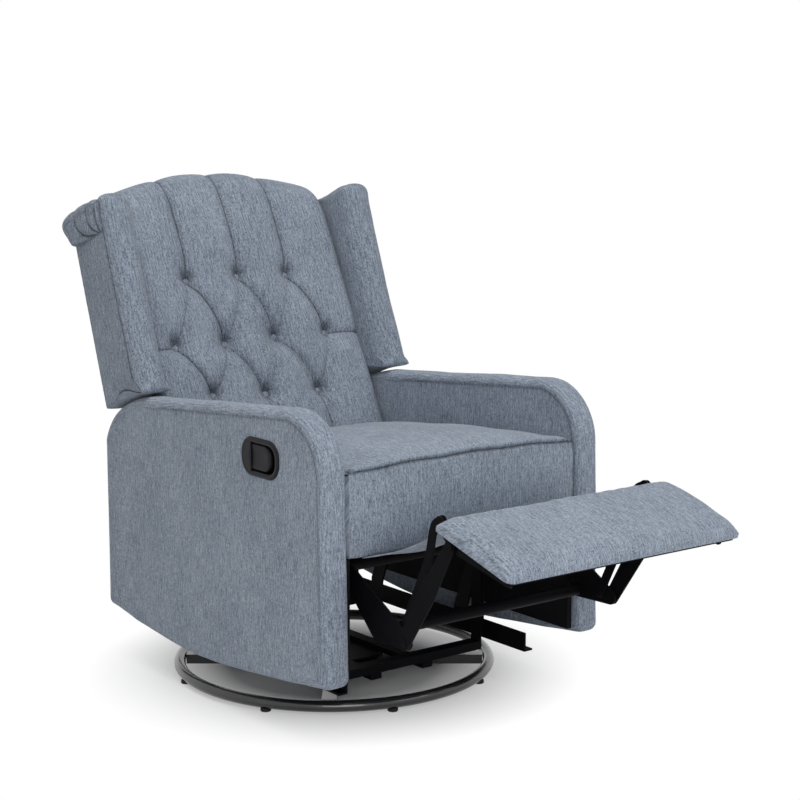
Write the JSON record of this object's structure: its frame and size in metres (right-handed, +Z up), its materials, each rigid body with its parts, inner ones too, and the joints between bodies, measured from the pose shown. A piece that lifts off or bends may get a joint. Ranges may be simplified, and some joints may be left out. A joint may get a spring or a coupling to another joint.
{
  "type": "swivel glider recliner",
  "caption": "Upholstered manual recliner with a tufted wing back, folding footrest and side pull handle, gliding on swing links over a swivelling floor ring.",
  "frame": {"origin": "centre of the swivel ring, on the floor under the hub", "axes": "+Z up; -Y is the way the sitter faces; +X is the sitter's left"},
  "size_m": [0.704, 1.4567, 1.0396],
  "materials": {
    "upholstery": "woven, heathered blue grey",
    "black_painted_steel": "satin black",
    "gloss_black_steel": "gloss black",
    "black_plastic": "fine grained black",
    "yellow_nylon": "moulded nylon",
    "frame_wood": "planed, unfinished",
    "black_board": "black lined board",
    "spring_steel": "oiled wire",
    "zinc_steel": "zinc plated"
  },
  "bodies": {
    "base": {"base_ring": "gloss_black_steel", "base_spider": "gloss_black_steel", "base_foot_1": "black_plastic", "base_foot_2": "black_plastic", "base_foot_3": "black_plastic", "base_foot_4": "black_plastic", "base_foot_5": "black_plastic", "base_foot_6": "black_plastic", "base_foot_7": "black_plastic", "base_foot_8": "black_plastic", "base_bearing_plate": "black_painted_steel", "bearing_race": "zinc_steel", "swivel_post": "zinc_steel"},
    "swivel": {"swivel_plate": "black_painted_steel", "swivel_beam_left": "black_painted_steel", "swivel_beam_right": "black_painted_steel", "swivel_cross_front": "black_painted_steel", "swivel_cross_rear": "black_painted_steel"},
    "glide_front": {"glide_link_front_left": "black_painted_steel", "glide_link_front_right": "black_painted_steel"},
    "glide_rear": {"glide_link_rear_left": "black_painted_steel", "glide_link_rear_right": "black_painted_steel"},
    "seat": {"glide_rail_left": "black_painted_steel", "glide_rail_right": "black_painted_steel", "side_plate_left": "black_painted_steel", "side_plate_right": "black_painted_steel", "rear_cross_tube": "black_painted_steel", "arm_left": "upholstery", "arm_right": "upholstery", "arm_board_left": "black_board", "arm_board_right": "black_board", "seat_rail_front": "frame_wood", "seat_rail_rear": "frame_wood", "seat_spring_1": "spring_steel", "seat_spring_2": "spring_steel", "seat_spring_3": "spring_steel", "seat_cushion": "upholstery", "handle_bezel": "black_plastic"},
    "back": {"back_cushion": "upholstery", "back_panel": "upholstery", "back_scroll": "upholstery", "wing_left": "upholstery", "wing_right": "upholstery", "back_hinge_left": "black_painted_steel", "back_hinge_right": "black_painted_steel"},
    "drive": {"drive_tube": "black_painted_steel", "sync_tube": "black_painted_steel", "sync_bushing": "yellow_nylon", "drive_link_left": "black_painted_steel", "drive_link_right": "black_painted_steel"},
    "long_links": {"long_link_left": "black_painted_steel", "long_link_right": "black_painted_steel"},
    "control_links": {"control_link_left": "black_painted_steel", "control_link_right": "black_painted_steel"},
    "footrest": {"footrest_bracket_left": "black_painted_steel", "footrest_bracket_right": "black_painted_steel", "footrest_board": "frame_wood", "footrest_pad": "upholstery"},
    "flap": {"footrest_flap": "upholstery"},
    "handle": {"handle_paddle": "black_plastic"}
  },
  "joints": [
    {"name": "swivel_turn", "type": "hinge", "parent": "base", "child": "swivel", "pos_m": [0, 0, 0.034], "axis": [0, 0, 1], "continuous": true},
    {"name": "glide", "type": "hinge", "parent": "swivel", "child": "glide_front", "pos_m": [0, -0.225, 0.222], "axis": [1, 0, 0], "range_deg": [-18, 18]},
    {"name": "glide_rear_swing", "type": "hinge", "parent": "swivel", "child": "glide_rear", "pos_m": [0, 0.225, 0.222], "axis": [1, 0, 0], "range_deg": [-18, 18]},
    {"name": "glide_seat_level", "type": "hinge", "parent": "glide_front", "child": "seat", "pos_m": [0, -0.225, 0.096], "axis": [1, 0, 0], "range_deg": [-18, 18]},
    {"name": "back_recline", "type": "hinge", "parent": "seat", "child": "back", "pos_m": [0, 0.285, 0.42], "axis": [-1, 0, 0], "range_deg": [0, 30]},
    {"name": "footrest_fold", "type": "hinge", "parent": "seat", "child": "drive", "pos_m": [0, -0.39, 0.338], "axis": [1, 0, 0], "range_deg": [0, 111.4]},
    {"name": "long_link_turn", "type": "hinge", "parent": "drive", "child": "long_links", "pos_m": [0, -0.584, 0.236], "axis": [1, 0, 0], "range_deg": [-80, 0]},
    {"name": "control_link_turn", "type": "hinge", "parent": "drive", "child": "control_links", "pos_m": [0, -0.561, 0.24], "axis": [1, 0, 0], "range_deg": [-78, 0]},
    {"name": "footrest_turn", "type": "hinge", "parent": "long_links", "child": "footrest", "pos_m": [0, -0.71526, 0.44136], "axis": [1, 0, 0], "range_deg": [0, 42.5]},
    {"name": "flap_turn", "type": "hinge", "parent": "seat", "child": "flap", "pos_m": [0, -0.447, 0.36], "axis": [1, 0, 0], "range_deg": [0, 53], "deforming": ["footrest_flap"]},
    {"name": "handle_pull", "type": "hinge", "parent": "seat", "child": "handle", "pos_m": [-0.338, -0.221, 0.534], "axis": [0, 0, -1], "range_deg": [0, 25], "stiffness_Nm_per_rad": 0.8}
  ],
  "couplings": [
    {"joint": "glide_rear_swing", "follows": "glide", "ratio": 1},
    {"joint": "glide_seat_level", "follows": "glide", "ratio": -1},
    {"joint": "long_link_turn", "follows": "footrest_fold", "ratio": -0.71454},
    {"joint": "control_link_turn", "follows": "footrest_fold", "ratio": -0.693},
    {"joint": "footrest_turn", "follows": "footrest_fold", "ratio": 0.37882},
    {"joint": "flap_turn", "follows": "footrest_fold", "ratio": 0.4722}
  ]
}
